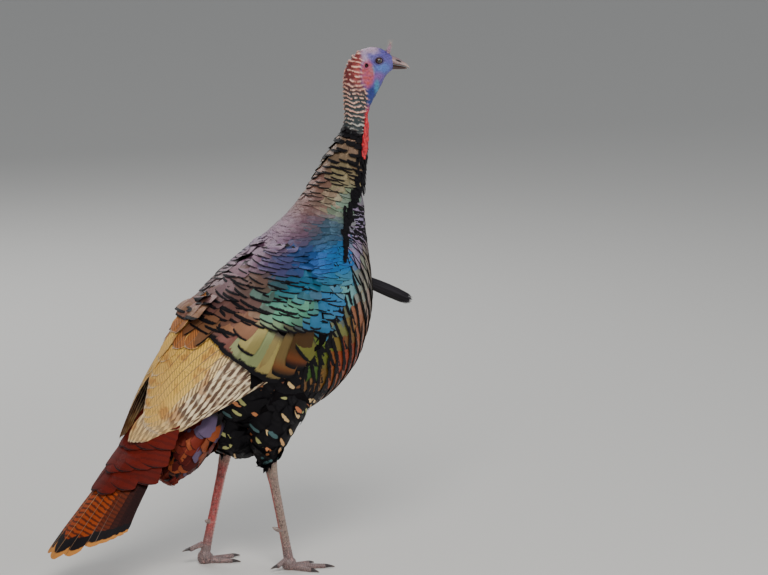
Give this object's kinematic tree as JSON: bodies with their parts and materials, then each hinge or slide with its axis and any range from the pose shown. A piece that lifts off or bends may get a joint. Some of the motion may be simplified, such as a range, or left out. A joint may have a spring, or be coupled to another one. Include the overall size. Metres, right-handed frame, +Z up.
{
  "type": "wild turkey",
  "caption": "Life-size still model of a wild turkey gobbler walking, head turned to its right, with bare blue and red head, bronze plumage, breast beard and barred tail.",
  "frame": {"origin": "on the floor, under the middle of the bird's bounding box", "axes": "+X the way the bird walks, +Y its left, +Z up"},
  "size_m": [0.7056, 0.2648, 0.8977],
  "materials": {
    "head_skin": "thin bare skin, blue to lilac, finely wrinkled, soft sheen",
    "neck_skin": "bare skin in pink and cream wrinkles with blue-grey furrows, soft sheen",
    "snood_skin": "soft wrinkled skin, grey-pink",
    "wattle_skin": "soft bare skin, crimson, slightly moist",
    "body_feathers": "overlapping feathers, iridescent bronze, green and copper with black tips",
    "wing_coverts": "large smooth feathers, iridescent gold-green and copper, black edges",
    "wing_quills": "vanes in buff and brown, finely barred, with frayed pale tips",
    "tail_quills": "vanes in rufous with fine black bars, a black band and buff tips",
    "tail_coverts": "feathers in chestnut with dark bars and glossy tips",
    "bill_horn": "horn, grey-pink, darker below, satin",
    "eye": "wet dark brown eye with a black pupil",
    "beard_bristles": "coarse black bristles",
    "leg_scales": "overlapping horny scales, pink to grey",
    "claw_horn": "dark horn, satin"
  },
  "bodies": {
    "root": {"head": "head_skin", "neck_bare": "neck_skin", "snood": "snood_skin", "wattle": "wattle_skin", "neck_upper": "body_feathers", "neck_lower": "body_feathers", "breast": "body_feathers", "trunk": "body_feathers", "rump": "body_feathers", "belly": "body_feathers", "thigh_left": "body_feathers", "thigh_right": "body_feathers", "wing_left_coverts": "wing_coverts", "wing_left_secondaries": "wing_quills", "wing_left_primaries": "wing_quills", "wing_right_coverts": "wing_coverts", "wing_right_secondaries": "wing_quills", "wing_right_primaries": "wing_quills", "tail": "tail_quills", "tail_coverts_upper": "tail_coverts", "tail_coverts_under": "tail_coverts", "bill_upper": "bill_horn", "bill_lower": "bill_horn", "eye_left": "eye", "eye_right": "eye", "beard": "beard_bristles", "shank_left": "leg_scales", "foot_left": "leg_scales", "spur_left": "claw_horn", "toe_middle_left": "leg_scales", "claw_middle_left": "claw_horn", "toe_inner_left": "leg_scales", "claw_inner_left": "claw_horn", "toe_outer_left": "leg_scales", "claw_outer_left": "claw_horn", "toe_hind_left": "leg_scales", "claw_hind_left": "claw_horn", "shank_right": "leg_scales", "foot_right": "leg_scales", "spur_right": "claw_horn", "toe_middle_right": "leg_scales", "claw_middle_right": "claw_horn", "toe_inner_right": "leg_scales", "claw_inner_right": "claw_horn", "toe_outer_right": "leg_scales", "claw_outer_right": "claw_horn", "toe_hind_right": "leg_scales", "claw_hind_right": "claw_horn"}
  },
  "joints": []
}
